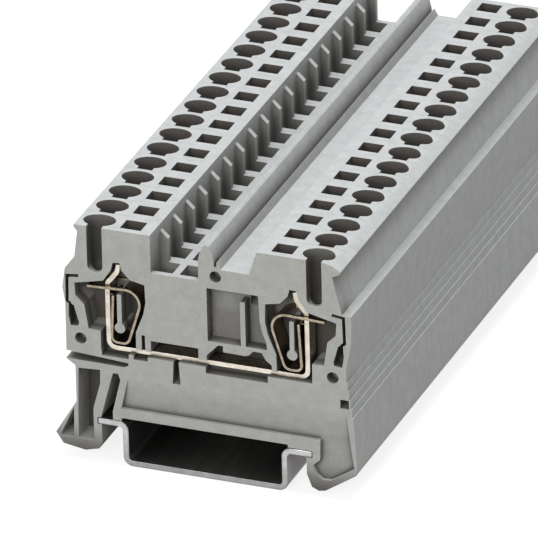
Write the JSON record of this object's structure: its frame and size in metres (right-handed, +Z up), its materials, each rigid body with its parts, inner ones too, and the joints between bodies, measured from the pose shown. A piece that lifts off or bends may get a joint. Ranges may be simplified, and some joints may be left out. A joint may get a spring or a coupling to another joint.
{
  "type": "spring cage terminal block",
  "caption": "Row of slim spring cage terminal blocks clipped side by side on a top-hat rail. The open side of the nearest block shows its current bar and cage springs.",
  "frame": {"origin": "middle of the rail's length, on the middle line of its underside", "axes": "+X across the rail towards the fixed hook feet, +Y along the rail away from the open side of the row, +Z up from the rail towards the wire entries"},
  "size_m": [0.0493, 0.108, 0.0401],
  "materials": {
    "housing": "moulded polyamide, fine matt texture",
    "current_bar": "bright tin over copper",
    "spring": "rolled stainless strip",
    "rail": "zinc plated, passivated"
  },
  "bodies": {
    "rail": {"din_rail": "rail"},
    "terminal_row": {"housing_01": "housing", "housing_02": "housing", "housing_03": "housing", "housing_04": "housing", "housing_05": "housing", "housing_06": "housing", "housing_07": "housing", "housing_08": "housing", "housing_09": "housing", "housing_10": "housing", "housing_11": "housing", "housing_12": "housing", "housing_13": "housing", "housing_14": "housing", "housing_15": "housing", "housing_16": "housing", "housing_17": "housing", "housing_18": "housing", "current_bar_01": "current_bar", "current_bar_02": "current_bar", "current_bar_03": "current_bar", "current_bar_04": "current_bar", "current_bar_05": "current_bar", "current_bar_06": "current_bar", "current_bar_07": "current_bar", "current_bar_08": "current_bar", "current_bar_09": "current_bar", "current_bar_10": "current_bar", "current_bar_11": "current_bar", "current_bar_12": "current_bar", "current_bar_13": "current_bar", "current_bar_14": "current_bar", "current_bar_15": "current_bar", "current_bar_16": "current_bar", "current_bar_17": "current_bar", "current_bar_18": "current_bar", "cage_spring_left": "spring", "cage_spring_right": "spring", "cage_springs_02": "spring", "cage_springs_03": "spring", "cage_springs_04": "spring", "cage_springs_05": "spring", "cage_springs_06": "spring", "cage_springs_07": "spring", "cage_springs_08": "spring", "cage_springs_09": "spring", "cage_springs_10": "spring", "cage_springs_11": "spring", "cage_springs_12": "spring", "cage_springs_13": "spring", "cage_springs_14": "spring", "cage_springs_15": "spring", "cage_springs_16": "spring", "cage_springs_17": "spring", "cage_springs_18": "spring"}
  },
  "joints": [
    {"name": "row_slide", "type": "slide", "parent": "rail", "child": "terminal_row", "axis": [0, 1, 0], "range_m": [0, 0.0144]}
  ]
}
